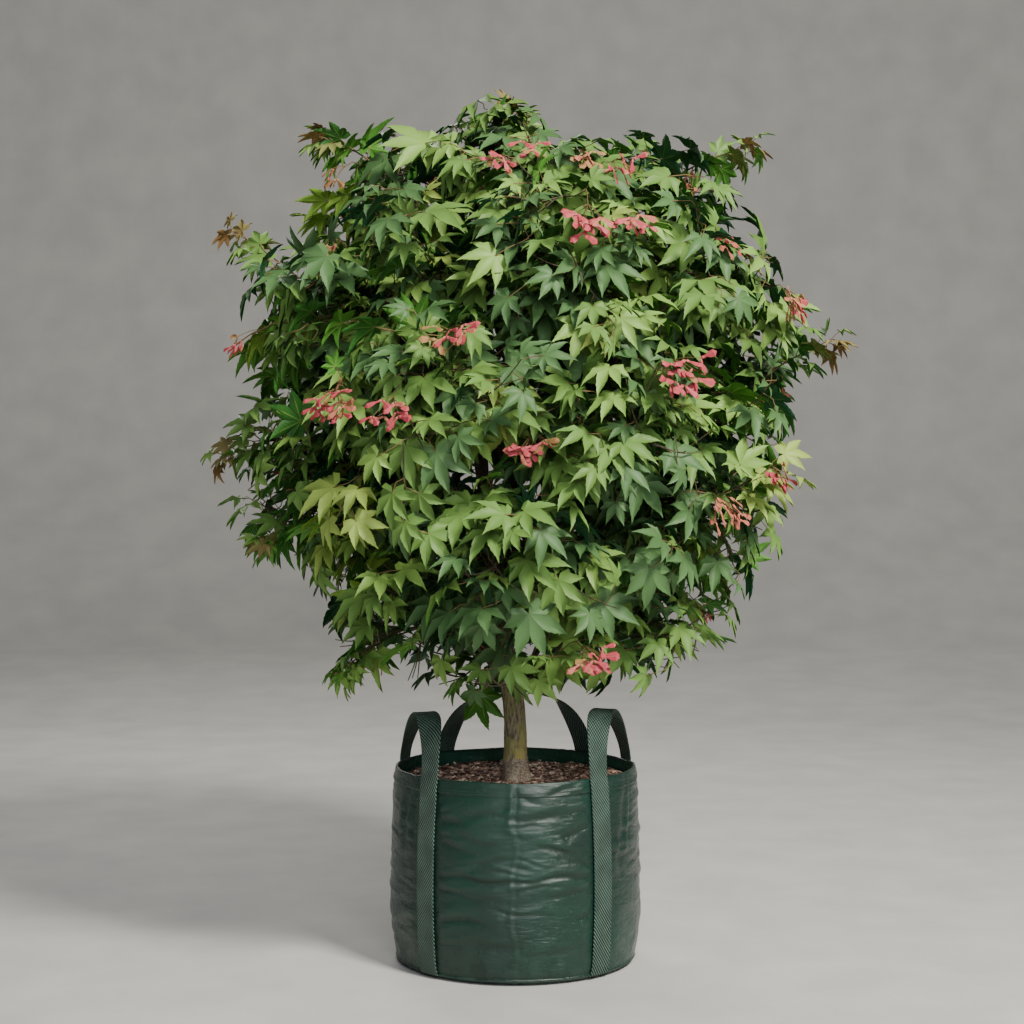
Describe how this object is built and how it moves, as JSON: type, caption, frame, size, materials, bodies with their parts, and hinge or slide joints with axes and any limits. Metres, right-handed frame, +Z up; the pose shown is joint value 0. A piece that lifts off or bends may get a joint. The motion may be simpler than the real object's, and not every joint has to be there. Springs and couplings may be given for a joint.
{
  "type": "maple sapling in a nursery bag",
  "caption": "Young leafy maple with a short forked trunk and winged seeds, its root ball in a round woven nursery bag with webbing handles.",
  "frame": {"origin": "centre of the bag's flat underside, where it stands on the ground", "axes": "+Z up along the trunk, +X to the right seen from the front, and the front faces -Y"},
  "size_m": [1.1202, 0.9956, 1.5353],
  "materials": {
    "bag": "glossy woven plastic",
    "webbing": "matte twill",
    "bark_mulch": "rough",
    "trunk_bark": "rough bark",
    "young_bark": "satin bark",
    "foliage": "satin"
  },
  "bodies": {
    "root": {"bag": "bag", "bough_crest_3": "young_bark", "bough_crest_4": "young_bark", "bough_lower_1": "young_bark", "bough_lower_2": "young_bark", "bough_lower_3": "young_bark", "bough_lower_4": "young_bark", "bough_lower_5": "young_bark", "bough_middle_1": "young_bark", "bough_middle_2": "young_bark", "bough_middle_3": "young_bark", "bough_middle_4": "young_bark", "bough_middle_5": "young_bark", "bough_middle_6": "young_bark", "bough_skirt_1": "young_bark", "bough_skirt_2": "young_bark", "bough_skirt_3": "young_bark", "bough_skirt_4": "young_bark", "bough_skirt_5": "young_bark", "bough_upper_1": "young_bark", "bough_upper_2": "young_bark", "bough_upper_3": "young_bark", "bough_upper_4": "young_bark", "bough_upper_5": "young_bark", "foliage_crest_1": "foliage", "foliage_crest_2": "foliage", "foliage_crest_3": "foliage", "foliage_crest_4": "foliage", "foliage_lower_1": "foliage", "foliage_lower_2": "foliage", "foliage_lower_3": "foliage", "foliage_lower_4": "foliage", "foliage_lower_5": "foliage", "foliage_middle_1": "foliage", "foliage_middle_2": "foliage", "foliage_middle_3": "foliage", "foliage_middle_4": "foliage", "foliage_middle_5": "foliage", "foliage_middle_6": "foliage", "foliage_skirt_1": "foliage", "foliage_skirt_2": "foliage", "foliage_skirt_3": "foliage", "foliage_skirt_4": "foliage", "foliage_skirt_5": "foliage", "foliage_top": "foliage", "foliage_upper_1": "foliage", "foliage_upper_2": "foliage", "foliage_upper_3": "foliage", "foliage_upper_4": "foliage", "foliage_upper_5": "foliage", "handle_back": "webbing", "handle_left": "webbing", "handle_right": "webbing", "leader_back": "young_bark", "leader_left": "young_bark", "leader_right": "young_bark", "root_ball": "bark_mulch", "trunk": "trunk_bark"}
  },
  "joints": []
}
